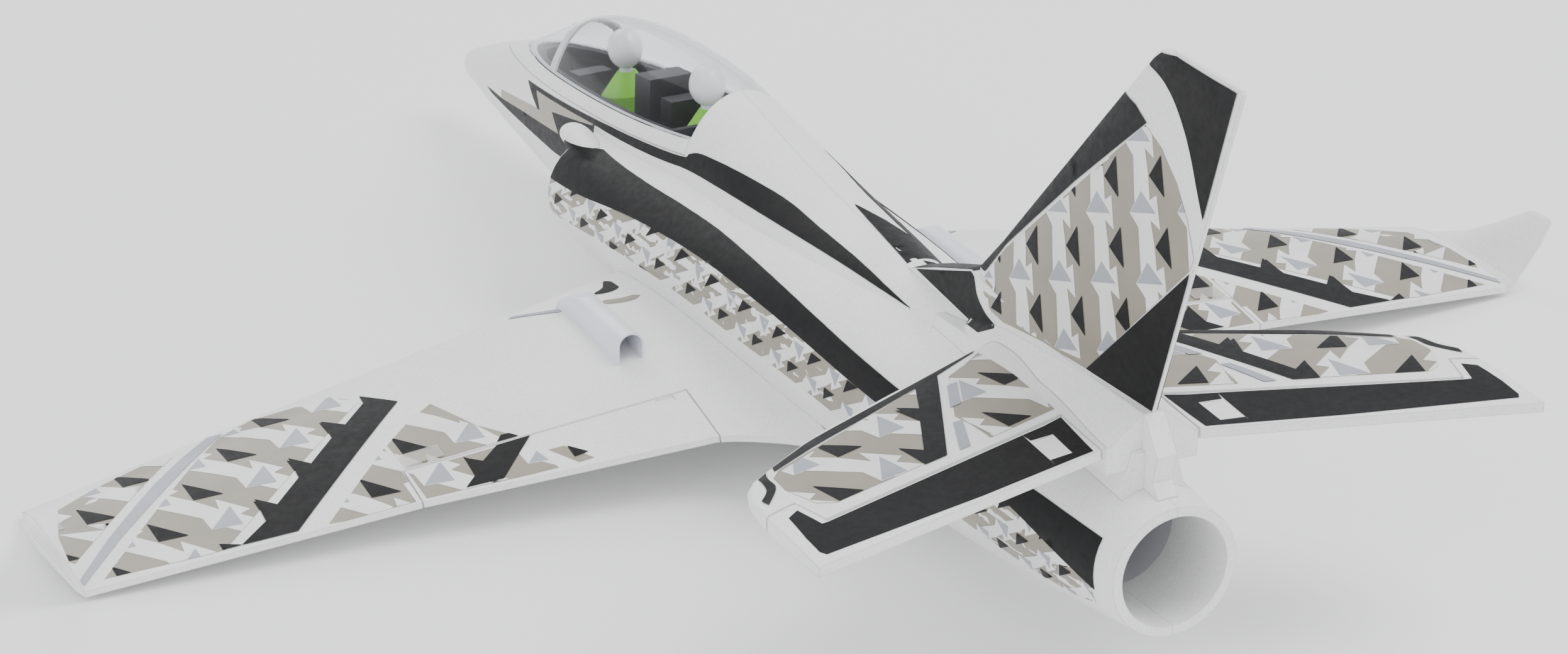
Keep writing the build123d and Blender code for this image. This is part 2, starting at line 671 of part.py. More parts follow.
stab_half = loft_rings([stab_ring(*row) for row in STAB], ruled=True)
E_IN = (22.0, 281.0, 103.5)
E_OUT = (142.0, 315.5, 100.5)
e_plane, e_len = hinge_plane(E_IN, E_OUT)
BALANCE_AT, BALANCE_REACH = e_len + 0.6, 16.6
E_MOVING = [(1.6, 16), (1.6, 4.6), (0.35, 0.3), (0.35, -0.4), (2.0, -5.2), (2.0, -16), (70, -16), (70, 16)]
E_FIXED = [(-0.2, 16), (-0.2, -16), (75, -16), (75, 16)]
H_FRONT = -BALANCE_REACH
HORN = [(H_FRONT, 2), (H_FRONT, -2), (H_FRONT + 0.8, -16), (70, -16), (70, 16), (H_FRONT + 0.8, 16)]
HORN_BAY = [(H_FRONT - 0.9, 16), (H_FRONT - 0.9, -16), (75, -16), (75, 16)]
beyond = block(22.3, 200, 200, 400, 80, 130)
bay_beyond = block(21.5, 200, 200, 400, 80, 130)
e_body = hinge_prism(e_plane, E_MOVING, -10, BALANCE_AT + 1) & beyond
e_body = e_body + hinge_prism(e_plane, HORN, BALANCE_AT, e_len + 40)
e_bay = hinge_prism(e_plane, E_FIXED, -12, BALANCE_AT + 1) & bay_beyond
e_bay = e_bay + hinge_prism(e_plane, HORN_BAY, BALANCE_AT - 0.5, e_len + 45)
e_pin_in, e_pin_out = along(e_plane, -7, 9, PIN_R), along(e_plane, e_len - 14, e_len - 5, PIN_R)
e_bore_in, e_bore_out = along(e_plane, -2, 9.4, PIN_BORE), along(e_plane, e_len - 14.4, e_len - 4.6, PIN_BORE)
elevator = (stab_half & e_body) - e_bore_in - e_bore_out
e_horn_pad = Pos(38.1, 302, 108.3) * Rot(0, 0, 16) * Box(10.5, 14, 4.0)
elevator = elevator - e_horn_pad
save(elevator, "elevator_left")
save(mirrored(elevator), "elevator_right")
fixed_half = (stab_half - e_bay - e_pin_in - e_pin_out) & block(0, 200, 100, 400, 50, 200)
stabilizer = fixed_half + mirrored(fixed_half)
save(stabilizer, "stabilizer")
e_pins = e_pin_in + e_pin_out
save(e_pins, "elevator_pins_left")
save(mirrored(e_pins), "elevator_pins_right")

# Fin, set into the saddle of the tail block
FIN = [
    (104, 156.6, 309.2, 9.0),
    (257, 300.8, 363.2, 4.6),
    (263, 306.2, 365.2, 4.2),
    (266.2, 311.5, 366.0, 3.4),
    (268, 318, 365, 2.0),
]


def fin_ring(z, front, rear, thick):
    return foil(Vector(0, 0, z), (front, 0), (rear, 0), Vector(1, 0, 0), thick, 1.8, 0.0, PLATE_FORM)


fin_full = loft_rings([fin_ring(*row) for row in FIN], ruled=True)
stab_slot = stab_half + mirrored(stab_half)
tail_full = roof + neck + pylon
tail_left = (tail_full & LEFT) - hull - spine - stab_slot - servo_bay
save(tail_left + mirrored(tail_left), "tail_block")
fin = fin_full - tail_full - stab_slot
save(max(fin.solids(), key=lambda solid: solid.volume), "fin")
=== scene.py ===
import json
import math
import bpy
import bmesh
from mathutils import Vector, Matrix
from mathutils.bvhtree import BVHTree
from mathutils.geometry import tessellate_polygon


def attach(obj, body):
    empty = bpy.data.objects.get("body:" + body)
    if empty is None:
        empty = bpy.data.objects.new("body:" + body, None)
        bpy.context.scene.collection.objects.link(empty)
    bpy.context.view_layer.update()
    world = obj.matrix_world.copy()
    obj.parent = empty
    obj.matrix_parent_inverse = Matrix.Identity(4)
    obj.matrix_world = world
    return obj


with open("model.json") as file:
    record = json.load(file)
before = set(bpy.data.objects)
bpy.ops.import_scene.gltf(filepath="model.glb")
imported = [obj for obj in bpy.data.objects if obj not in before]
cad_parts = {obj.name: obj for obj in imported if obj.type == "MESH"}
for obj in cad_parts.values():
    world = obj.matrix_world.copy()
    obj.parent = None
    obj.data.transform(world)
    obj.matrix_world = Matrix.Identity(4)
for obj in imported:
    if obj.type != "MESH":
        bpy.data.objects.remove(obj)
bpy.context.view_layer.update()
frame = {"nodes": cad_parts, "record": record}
nodes = frame["nodes"]
MM = 0.001  # outlines are drawn in millimetres; the scene is in metres


def linear(c):
    """One sRGB channel as linear light."""
    return c / 12.92 if c <= 0.04045 else ((c + 0.055) / 1.055) ** 2.4


def rgb(r, g, b):
    """A linear colour from sRGB values of 0 to 255."""
    return (linear(r / 255), linear(g / 255), linear(b / 255), 1.0)


# ---- camera and light -----------------------------------------------------------
cam_data = bpy.data.cameras.new("camera")
cam = bpy.data.objects.new("camera", cam_data)
bpy.context.scene.collection.objects.link(cam)
bpy.context.scene.camera = cam
CAMERA_AT = (0.8123, 1.6174, 0.8464)
right = Vector((-0.8954, 0.4453, 0.0026))
up = Vector((-0.1812, -0.3697, 0.9113))
back = Vector((0.4068, 0.8155, 0.4117))
turn = Matrix((right, up, back)).transposed().to_4x4()
cam.matrix_world = Matrix.Translation(CAMERA_AT) @ turn
cam_data.sensor_width = 36.0
cam_data.lens = 101.08722
cam_data.shift_x = 0.0046
cam_data.shift_y = 0.0011
cam_data.clip_start = 0.05
cam_data.clip_end = 20.0

world = bpy.data.worlds.new("studio")
bpy.context.scene.world = world
world.use_nodes = True
background = world.node_tree.nodes["Background"]
background.inputs["Color"].default_value = (0.96, 0.97, 1.0, 1.0)
background.inputs["Strength"].default_value = 1.2


def area_light(name, where, target, size, power):
    data = bpy.data.lights.new(name, "AREA")
    data.energy = power
    data.size = size
    lamp = bpy.data.objects.new(name, data)
    bpy.context.scene.collection.objects.link(lamp)
    lamp.location = where
    lamp.rotation_euler = (Vector(target) - Vector(where)).to_track_quat("-Z", "Y").to_euler()


area_light("key_softbox", (-0.9, 0.7, 1.9), (0, 0, 0.05), 1.2, 27)
area_light("fill_softbox", (1.6, 0.9, 1.1), (0, 0.05, 0.05), 1.4, 9)
area_light("rim_softbox", (0.2, -1.7, 1.2), (0, 0, 0.08), 1.2, 10)


# ---- materials ------------------------------------------------------------------
class Mat:
    """A material built from nodes around one Principled shader."""

    def __init__(self, name, color, rough=0.5, **sockets):
        self.m = bpy.data.materials.new(name)
        self.m.use_nodes = True
        self.t = self.m.node_tree
        self.p = self.t.nodes["Principled BSDF"]
        self.p.inputs["Base Color"].default_value = color
        self.p.inputs["Roughness"].default_value = rough
        for key, value in sockets.items():
            self.p.inputs[key.replace("_", " ")].default_value = value
        self.coord = self.t.nodes.new("ShaderNodeTexCoord")

    def node(self, kind, **values):
        n = self.t.nodes.new("ShaderNode" + kind)
        for key, value in values.items():
            if hasattr(n, key):
                setattr(n, key, value)
            else:
                n.inputs[key.replace("_", " ")].default_value = value
        return n

    def link(self, a, out, b, into):
        self.t.links.new(a.outputs[out], b.inputs[into])

    def ramp(self, source, out, stops):
        r = self.t.nodes.new("ShaderNodeValToRGB")
        while len(r.color_ramp.elements) < len(stops):
            r.color_ramp.elements.new(0.5)
        for e, (at, c) in zip(r.color_ramp.elements, stops):
            e.position = at
            e.color = c
        self.link(source, out, r, "Fac")
        return r

    def noise(self, scale, detail=3.0, rough=0.55):
        n = self.node("TexNoise", Scale=scale, Detail=detail, Roughness=rough)
        self.link(self.coord, "Object", n, "Vector")
        return n

    def cells(self, scale, feature="F1"):
        n = self.node("TexVoronoi", feature=feature, Scale=scale)
        self.link(self.coord, "Object", n, "Vector")
        return n

    def bump(self, sources, strength=0.3, distance=0.0002):
        """Each source is (node, output, weight); later ones stack on the earlier."""
        last = None
        for n, out, weight in sources:
            b = self.node("Bump", Strength=strength * weight, Distance=distance)
            self.link(n, out, b, "Height")
            if last:
                self.link(last, "Normal", b, "Normal")
            last = b
        self.link(last, "Normal", self.p, "Normal")


def grey(v):
    return (v, v, v, 1.0)


def foam(name):
    """Moulded bead foam: faint cells, a soft sheen and slightly rounded edges."""
    m = Mat(name, (0.80, 0.80, 0.785, 1), 0.46, Subsurface_Weight=0.0)
    bead = m.cells(420)
    edge = m.cells(420, "DISTANCE_TO_EDGE")
    broad = m.noise(26, 4)
    fine = m.noise(900, 2)
    base = m.ramp(broad, "Fac", [(0.3, (0.84, 0.84, 0.83, 1)), (0.72, (0.89, 0.89, 0.885, 1))])
    seam = m.ramp(edge, "Distance", [(0.0, grey(0.86)), (0.12, grey(1.0))])
    mix = m.node("Mix", data_type="RGBA", blend_type="MULTIPLY")
    mix.inputs[0].default_value = 0.55
    m.t.links.new(base.outputs["Color"], mix.inputs[6])
    m.t.links.new(seam.outputs["Color"], mix.inputs[7])
    m.t.links.new(mix.outputs[2], m.p.inputs["Base Color"])
    rough = m.ramp(bead, "Distance", [(0.0, grey(0.40)), (0.7, grey(0.58))])
    m.t.links.new(rough.outputs["Color"], m.p.inputs["Roughness"])
    m.bump([(edge, "Distance", 0.35), (fine, "Fac", 0.18), (broad, "Fac", 0.5)], 0.35, 0.0004)
    soft = m.node("Bevel", samples=4, Radius=0.0009)
    bumps = [n for n in m.t.nodes if n.bl_idname == "ShaderNodeBump"]
    first = [n for n in bumps if not n.inputs["Normal"].is_linked][0]
    m.link(soft, "Normal", first, "Normal")
    return m.m


def vinyl(name, color, rough=0.3, vary=0.06, shine=0.35, gloss=0.2):
    """Printed sticker film."""
    m = Mat(name, color, rough, Coat_Weight=gloss, Coat_Roughness=0.15, Specular_IOR_Level=shine)
    n = m.noise(60, 3)
    c0 = tuple(c * (1 - vary) for c in color[:3]) + (1,)
    c1 = tuple(min(1, c * (1 + vary) + 0.002) for c in color[:3]) + (1,)
    r = m.ramp(n, "Fac", [(0.3, c0), (0.7, c1)])
    m.t.links.new(r.outputs["Color"], m.p.inputs["Base Color"])
    scuff = m.noise(240, 5, 0.7)
    rr = m.ramp(scuff, "Fac", [(0.35, grey(rough)), (0.75, grey(rough + 0.16))])
    m.t.links.new(rr.outputs["Color"], m.p.inputs["Roughness"])
    grain = m.noise(420, 2)
    m.bump([(grain, "Fac", 0.25), (n, "Fac", 0.4)], 0.25, 0.0003)
    return m.m


def plastic(name, color, rough=0.35, bumps=300, amount=0.15, **extra):
    """Moulded plastic, and metal with Metallic=1."""
    m = Mat(name, color, rough, **extra)
    n = m.noise(bumps, 3)
    wear = m.noise(35, 4)
    r = m.ramp(wear, "Fac", [(0.3, grey(max(rough - 0.06, 0.02))), (0.75, grey(rough + 0.1))])
    m.t.links.new(r.outputs["Color"], m.p.inputs["Roughness"])
    c0 = tuple(c * 0.92 for c in color[:3]) + (1,)
    tint = m.ramp(wear, "Fac", [(0.35, c0), (0.65, color)])
    m.t.links.new(tint.outputs["Color"], m.p.inputs["Base Color"])
    m.bump([(n, "Fac", 1.0)], amount, 0.0002)
    return m.m


WHITE_FOAM = foam("foam_white")
BLACK = vinyl("vinyl_black", (0.003, 0.003, 0.0034, 1), 0.46, 0.06, 0.2, 0.0)
TAN = vinyl("vinyl_tan", rgb(143, 138, 124))
GREY = vinyl("vinyl_grey", rgb(156, 160, 168))
FAIRING = plastic("fairing_white", (0.78, 0.80, 0.86, 1), 0.3, 200, 0.06, Coat_Weight=0.2)
HELMET = plastic("helmet_white", (0.93, 0.93, 0.93, 1), 0.2, 120, 0.03, Coat_Weight=0.3)
GREEN = plastic("flight_suit_green", rgb(132, 214, 40), 0.32, 260, 0.12)
COCKPIT = plastic("cockpit_black", (0.012, 0.013, 0.015, 1), 0.62, 700, 0.5)
SEAT = plastic("seat_black", (0.018, 0.018, 0.020, 1), 0.5, 900, 0.8)
ABS = plastic("abs_black", (0.02, 0.02, 0.022, 1), 0.36, 400, 0.15)
STEEL = plastic("steel", (0.62, 0.62, 0.64, 1), 0.25, 300, 0.05, Metallic=1.0)
MOTOR = plastic("motor_can", (0.32, 0.32, 0.36, 1), 0.3, 300, 0.05, Metallic=1.0)
LINER = plastic("liner_grey", (0.62, 0.63, 0.65, 1), 0.4, 500, 0.3)
PLY = plastic("light_plywood", (0.52, 0.36, 0.2, 1), 0.6, 160, 0.4)
WRAP = plastic("battery_wrap", (0.03, 0.08, 0.3, 1), 0.3, 200, 0.2)
STRAP = plastic("strap_black", (0.015, 0.015, 0.015, 1), 0.8, 900, 0.9)
CARBON = plastic("carbon_rod", (0.015, 0.015, 0.017, 1), 0.3, 900, 0.4)
NYLON = plastic("nylon_white", (0.75, 0.75, 0.72, 1), 0.45, 300, 0.1)
HOOP = plastic("hoop_white", (0.80, 0.80, 0.80, 1), 0.35, 300, 0.08)


def clear(name):
    """Thin clear plastic sheet."""
    m = Mat(name, (0.93, 0.95, 0.965, 1), 0.03, IOR=1.12, Transmission_Weight=1.0)
    haze = m.noise(18, 3)
    r = m.ramp(haze, "Fac", [(0.3, grey(0.02)), (0.8, grey(0.10))])
    m.t.links.new(r.outputs["Color"], m.p.inputs["Roughness"])
    m.m.use_transparent_shadow = True
    return m.m


GLASS = clear("canopy_clear")
PAINT = {
    "foam": WHITE_FOAM, "canopy_clear": GLASS, "white_plastic": FAIRING, "black_plastic": ABS,
    "green_plastic": GREEN, "steel": STEEL, "motor_can": MOTOR, "liner": LINER, "ply": PLY,
    "battery_wrap": WRAP, "strap": STRAP, "carbon": CARBON, "white_nylon": NYLON,
}
SPECIAL = {
    "canopy_hoop": HOOP, "pilot_heads": HELMET, "cockpit_tub": COCKPIT, "front_seat": SEAT,
    "rear_instrument_hood": SEAT, "front_instrument_panel": SEAT,
}
slot_of = {s["node"]: s["material_slot"] for s in frame["record"]["subparts"]}
for name, obj in nodes.items():
    mat = SPECIAL.get(name) or PAINT[slot_of[name]]
    obj.data.materials.clear()
    obj.data.materials.append(mat)


# ---- helpers for laying thin vinyl on a surface -----------------------------------
def tree_of(names):
    """One ray-cast tree over the meshes of some CAD nodes."""
    verts, faces = [], []
    for n in names:
        mesh = nodes[n].data
        mesh.calc_loop_triangles()
        k = len(verts)
        verts += [v.co.copy() for v in mesh.vertices]
        faces += [[k + i for i in t.vertices] for t in mesh.loop_triangles]
    return BVHTree.FromPolygons(verts, faces)


def mesh_object(name, bm, mats, body):
    mesh = bpy.data.meshes.new(name)
    bm.to_mesh(mesh)
    bm.free()
    for m in mats:
        mesh.materials.append(m)
    for p in mesh.polygons:
        p.use_smooth = True
    obj = bpy.data.objects.new(name, mesh)
    bpy.context.scene.collection.objects.link(obj)
    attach(obj, body)


class Surface:
    """Nodes seen from above, with (x, y) points, or from a side, with (y, z) points, in mm."""

    def __init__(self, names, look, mirror=False):
        self.tree = tree_of(names)
        self.look = look
        self.sign = -1 if mirror else 1

    def place(self, a, b, lift):
        if self.look == "top":
            start, ray = Vector((self.sign * a * MM, b * MM, 0.5)), Vector((0, 0, -1))
        else:
            start, ray = Vector((self.sign * 0.5, a * MM, b * MM)), Vector((-self.sign, 0, 0))
        hit, normal, _, _ = self.tree.ray_cast(start, ray)
        if hit is None:
            return None
        if normal.dot(ray) > 0:
            normal = -normal
        return hit + normal * lift * MM


def flat_fill(bm, points, index):
    """Adds a filled outline in the plane z = 0."""
    verts = [bm.verts.new((x, y, 0.0)) for x, y in points]
    for tri in tessellate_polygon([[Vector((x, y, 0)) for x, y in points]]):
        try:
            face = bm.faces.new([verts[i] for i in tri])
        except ValueError:  # a repeated point gives the same triangle twice
            continue
        face.material_index = index


LAYER_STEP = 0.07  # mm between one ink and the next above it


def lay(name, surface, shapes, mats, body, lift, grid):
    """Cuts (outline, ink) shapes by a grid and drops them on a surface, lift mm above it."""
    bm = bmesh.new()
    for points, index in shapes:
        part = bmesh.new()
        flat_fill(part, points, index)
        if not part.faces:
            part.free()
            continue
        xs = [v.co.x for v in part.verts]
        ys = [v.co.y for v in part.verts]
        for axis, low, high in ((0, min(xs), max(xs)), (1, min(ys), max(ys))):
            k = math.floor(low / grid) + 1
            while k * grid < high:
                at = (k * grid, 0, 0) if axis == 0 else (0, k * grid, 0)
                no = (1, 0, 0) if axis == 0 else (0, 1, 0)
                geom = part.verts[:] + part.edges[:] + part.faces[:]
                bmesh.ops.bisect_plane(part, geom=geom, plane_co=at, plane_no=no)
                k += 1
        lost = []
        for v in part.verts:
            p = surface.place(v.co.x, v.co.y, lift + LAYER_STEP * index)
            if p is None:
                lost.append(v)
            else:
                v.co = p
        bmesh.ops.delete(part, geom=lost, context="VERTS")
        bmesh.ops.triangulate(part, faces=part.faces[:])
        temp = bpy.data.meshes.new("temp")
        part.to_mesh(temp)
        part.free()
        bm.from_mesh(temp)
        bpy.data.meshes.remove(temp)
    bmesh.ops.recalc_face_normals(bm, faces=bm.faces[:])
    mesh_object(name, bm, mats, body)


def smooth(points, steps=6):
    """A smooth open curve through the points."""
    out = []
    n = len(points)
    for i in range(n - 1):
        p0 = points[max(i - 1, 0)]
        p1, p2 = points[i], points[i + 1]
        p3 = points[min(i + 2, n - 1)]
        for k in range(steps):
            t = k / steps
            out.append(tuple(
                0.5 * (2 * p1[j] + (p2[j] - p0[j]) * t
                       + (2 * p0[j] - 5 * p1[j] + 4 * p2[j] - p3[j]) * t * t
                       + (3 * p1[j] - p0[j] - 3 * p2[j] + p3[j]) * t ** 3)
                for j in (0, 1)
            ))
    out.append(points[-1])
    return out


# ---- camouflage print -------------------------------------------------------------
# One tile of the print, drawn on the fin in mm from the tip of its black triangle.
# TILE_U and TILE_V are the steps from a tile to the next; other surfaces give their own steps.
TILE_U, TILE_V = (31.8, 11.7), (-5.8, 27.2)
WHITE_SHAPE = [
    (-22.6, 1.7), (-25.7, -3.5), (-19.3, -7.2), (-16.8, -25.5), (-6.4, -20.5), (-8.2, -10.8),
    (-11.3, -1.3), (-4.8, -3.0), (-7.7, 10.3), (-12.2, 6.7),
]
GREY_SHAPE = [(-18.5, 8.0), (-8.0, 2.6), (-25.2, -3.2)]
BLACK_SHAPE = [(0, 0), (-7.5, -11), (3.3, -16)]


def in_tile(p):
    """A step in the tile's own two directions."""
    det = TILE_U[0] * TILE_V[1] - TILE_U[1] * TILE_V[0]
    return (p[0] * TILE_V[1] - p[1] * TILE_V[0]) / det, (TILE_U[0] * p[1] - TILE_U[1] * p[0]) / det


def area_of(points):
    """Signed area of an outline, in square mm."""
    return 0.5 * sum(a[0] * b[1] - b[0] * a[1] for a, b in zip(points, points[1:] + points[:1]))


SMALLEST = 0.4  # square mm; smaller scraps of print are dropped
REACH = 14      # tiles drawn each way from the first


def clipped(points, window):
    """The part of an outline inside a convex window."""
    turn = 1 if area_of(window) > 0 else -1
    out = list(points)
    for a, b in zip(window, window[1:] + window[:1]):
        nx, ny = -(b[1] - a[1]) * turn, (b[0] - a[0]) * turn

        def depth(p):
            return (p[0] - a[0]) * nx + (p[1] - a[1]) * ny

        kept = []
        for p, q in zip(out, out[1:] + out[:1]):
            dp, dq = depth(p), depth(q)
            if dp >= 0:
                kept.append(p)
            if dp * dq < 0:
                t = dp / (dp - dq)
                kept.append((p[0] + (q[0] - p[0]) * t, p[1] + (q[1] - p[1]) * t))
        out = kept
        if len(out) < 3:
            return []
    return out if abs(area_of(out)) > SMALLEST else []


def camo(window, origin, u, v):
    """Shapes of the print inside a window: tan ground, white, grey and black on it."""
    shapes = [(list(window), 0)]
    for i in range(-REACH, REACH + 1):
        for j in range(-REACH, REACH + 1):
            ox = origin[0] + i * u[0] + j * v[0]
            oy = origin[1] + i * u[1] + j * v[1]
            for outline, index in ((WHITE_SHAPE, 1), (GREY_SHAPE, 2), (BLACK_SHAPE, 3)):
                pts = []
                for p in outline:
                    ca, cb = in_tile(p)
                    pts.append((ox + ca * u[0] + cb * v[0], oy + ca * u[1] + cb * v[1]))
                pts = clipped(pts, window)
                if pts:
                    shapes.append((pts, index))
    return shapes


WHITE_PRINT = vinyl("vinyl_white", (0.80, 0.80, 0.79, 1), 0.28)
INKS = [TAN, WHITE_PRINT, GREY, BLACK]


def line_at(line, y):
    """Height of a (y, z) line at a station."""
    for a, b in zip(line, line[1:]):
        if a[0] <= y <= b[0]:
            return a[1] + (b[1] - a[1]) * (y - a[0]) / (b[0] - a[0])
    return line[-1][1]


def hinge_y(x):
    """The aileron hinge line, in plan."""
    return 54.0 - 0.0591 * (x - 76.6)


for side, mirror in (("left", False), ("right", True)):
    # fin: the same print on both faces
    face = Surface(["fin", "tail_block"], "side", mirror)
    field = [
        (186, 121.5), (185, 128), (201, 146.5), (304, 236.5), (316, 231.5), (327, 221), (334, 209),
        (339, 195), (336.5, 189), (268, 121), (235, 119.5), (203, 115), (193, 116),
    ]
    lay(f"fin_print_{side}", face, camo(field, (258, 178), TILE_U, TILE_V), INKS, "airframe", 0.14, 8)
    blacks = [
        ([
            (177, 128.5), (197, 147.5), (286, 243.3), (296, 242), (305, 237.8), (254, 195.3),
            (201, 148), (185, 130),
        ], 0),
        (smooth([
            (303, 260.3), (314, 258.4), (323, 253), (330.5, 244.5), (335.5, 235), (340, 223),
            (344.3, 212.5),
        ])
         + [(363.2, 269.6), (322, 269.8), (311, 267.6), (305.5, 263.2)], 0),
        ([(336.7, 188), (268.5, 121.2), (314.3, 121.6), (335.6, 184)], 0),
    ]
    lay(f"fin_black_{side}", face, blacks, [BLACK], "airframe", 0.42, 4)
    dorsal = [(129, 109.6), (150, 117.2), (176, 126.9), (178.6, 125.5)]
    dorsal += smooth([(179.5, 123), (181, 119), (184.5, 115.5), (190, 112.6), (199, 110.8)], 4)
    dorsal += [(192, 106.8), (178, 104.6), (150, 107.4)]
    lay(
        f"dorsal_black_{side}", Surface(["tail_block", "fin"], "side", mirror), [(dorsal, 0)], [BLACK],
        "airframe", 0.2, 5,
    )

    # stabilizer and elevator
    stab = Surface(["stabilizer"], "top", mirror)
    su, sv, so = (-16, -32.5), (-27.1, 20.2), (33, 277.5)  # the print's two steps and its start
    inner = [
        (22, 276), (46, 283.2), (56, 286), (57.5, 272), (59.5, 263.5), (44, 230), (33, 223),
        (22.5, 215), (21.3, 240),
    ]
    outer = [
        (79, 291), (133, 306.2), (140, 303.2), (145.5, 288), (144.5, 276), (139.5, 270.5), (120, 261),
        (90, 247.5), (61, 233),
    ]
    shapes = camo(inner, so, su, sv) + camo(outer, so, su, sv)
    lay(f"stabilizer_print_{side}", stab, shapes, INKS, "airframe", 0.12, 9)
    tip = smooth([(140, 266.3), (144.5, 270), (146.5, 276), (147, 283), (150, 288.5), (156.2, 296)], 4)
    tip += smooth([(157, 291.5), (152, 285.5), (150.2, 279), (149.5, 273)], 4)
    edge = [
        (21.5, 211), (33, 216.5), (60, 228.6), (90, 241.5), (120, 254.3), (140, 266.3), (141.5, 271),
        (120, 260), (90, 246.6),
    ]
    edge += [(60, 232.4), (45, 225.2), (33, 218.6), (24, 213.6)]
    band = [
        (47, 226), (78, 291.6), (89, 294.6), (91.7, 278.3), (84, 284), (73.6, 261.2), (77.6, 247.8),
        (69.3, 253), (60.3, 232.4),
    ]
    lay(
        f"stabilizer_black_{side}", stab, [(band, 0), (edge, 0), (tip, 0)], [BLACK], "airframe", 0.40,
        9,
    )
    slips = [
        ([(58.6, 268), (66.2, 288.6), (71.6, 290), (63, 268.6)], 0),
        ([(44, 237), (49, 238), (57.6, 256.5), (52, 255)], 0),
    ]
    lay(f"stabilizer_slips_{side}", stab, slips, [GREY], "airframe", 0.36, 9)
    flap = Surface([f"elevator_{side}"], "top", mirror)
    lower = [(23.2, 283.1), (32.8, 286.6), (32.8, 293.6), (33.2, 309.6), (33.4, 313.6), (25.2, 311.8)]
    low_bar = [(32.8, 286.6), (44, 289.6), (43.1, 294.6), (32.8, 293.6)]
    top_bar = [(33.2, 309.6), (43.6, 311), (43.8, 316), (33.4, 313.6)]
    main = [
        (44, 289.6), (100, 305.6), (142.4, 317.8), (145.2, 318.2), (148.9, 305), (154.4, 308.8),
        (155.4, 325), (155.2, 336), (153.6, 338.6), (80, 324.4), (43.8, 316),
    ]
    lay(
        f"elevator_black_{side}", flap, [(lower, 0), (low_bar, 0), (top_bar, 0), (main, 0)], [BLACK],
        f"elevator_{side}", 0.16, 9,
    )

    # wing
    wing = Surface([f"wing_{side}"], "top", mirror)
    ail = Surface([f"aileron_{side}"], "top", mirror)
    wu, wv, wo = (-23.3, -21.8), (-21.3, 29.6), (301, 44.5)
    in_low = [
        (166, 31), (176, 5), (190, 13.5), (204.4, 25.6), (204.4, hinge_y(204.4) - 0.8),
        (159, hinge_y(159) - 0.8), (156, 45),
    ]
    in_out = [(206.4, 27), (247, 66), (240, 67.6), (206.4, 69.6)]
    mid = [(201, -16), (209, -30), (245, -36), (262, -27), (342, 56), (300, 61.2), (291, 61.6)]
    tipward = [(284, -23.5), (296, -26.5), (318, -19), (341, -8), (348.5, 16), (350.6, 36), (349, 39)]
    shapes = []
    for window in (in_low, in_out, mid, tipward):
        shapes += camo(window, wo, wu, wv)
    lay(f"wing_print_{side}", wing, shapes, INKS, "airframe", 0.12, 11)
    slash = [
        (187, -5), (260, 64.6), (291, 61.6), (292, 57), (284, 62), (269.5, 51.5), (268, 34),
        (261, 42.5), (246, 28.6),
        (244.5, 12), (237.5, 21.3), (222.5, 7), (221.5, -9), (213.5, 0), (200, -13), (199, -20.5),
    ]
    root_mark = smooth(
        [(63, -44.5), (66, -42.6), (71, -43), (75, -46), (69, -49.5), (65, -57.5), (62.6, -54)], 3,
    )
    low_black = [(156, 44.6), (159.5, 44.2), (163, hinge_y(163) - 0.8), (153, hinge_y(153) - 0.8)]
    lay(
        f"wing_black_{side}", wing, [(slash, 0), (root_mark, 0), (low_black, 0)], [BLACK], "airframe",
        0.40, 11,
    )
    stripe = [(259, -30.5), (265, -33), (302, 0), (331, 29), (351, 51.6), (351, 56.5), (327, 32)]
    swoosh = smooth(
        [(59.6, -29), (63, -26.8), (68, -27.4), (75, -31), (75, -35.5), (68, -32.4), (62, -31.6)], 3,
    )
    lay(
        f"wing_grey_{side}", wing,
        [(stripe, 0), ([(92, -40.5), (112, -53), (115, -51.5), (95, -38.6)], 0)], [GREY], "airframe",
        0.36, 11,
    )
    lay(f"wing_tan_{side}", wing, [(swoosh, 0)], [TAN], "airframe", 0.2, 11)
    in_ail = [
        (159, hinge_y(159) + 2.2), (204.3, hinge_y(204.3) + 2.2), (204.3, 69.6), (188, 71.8), (160, 76),
        (147, 77.5), (151, 62),
    ]
    tail_bits = [([(131, 78.6), (138, 78.4), (146, 64), (139, 64.8)], 0)]
    lay(
        f"aileron_print_{side}", ail, camo(in_ail, wo, wu, wv) + tail_bits, INKS, f"aileron_{side}",
        0.12, 9,
    )
    short = [
        (148.6, 50.9), (170.5, 73.2), (187, 71.2), (180.6, 65.5), (179.6, 51.5), (173.5, 57.6),
        (164, 50.2),
    ]
    mark = [([(131.6, 73.8), (138.2, 74.2), (138, 65.6)], 0)]
    lay(f"aileron_black_{side}", ail, [(short, 0)] + mark, [BLACK], f"aileron_{side}", 0.40, 9)

    # fuselage side
    flank = Surface([f"fuselage_{side}", f"intake_cheek_{side}"], "side", mirror)
    pod_side = Surface([f"fuselage_{side}"], "side", mirror)
    top_line = smooth(
        [
            (-134.2, 81), (-100, 82.6), (-60, 84.6), (-20, 86.8), (18, 88), (66, 87.2), (114, 84.4),
            (174, 80.2), (222, 77.8), (262, 76.4), (321, 75.4),
        ],
        5,
    )
    low_line = smooth(
        [
            (-134.4, 63), (-100, 67), (-60, 72.6), (-20, 76.2), (20, 78), (60, 77.4), (100, 75.2),
            (161, 70.4), (220, 68), (262, 65.5), (292, 60.4), (321.5, 54),
        ],
        5,
    )
    lay(f"nacelle_band_{side}", flank, [(top_line + low_line[::-1], 0)], [BLACK], "airframe", 0.32, 4)

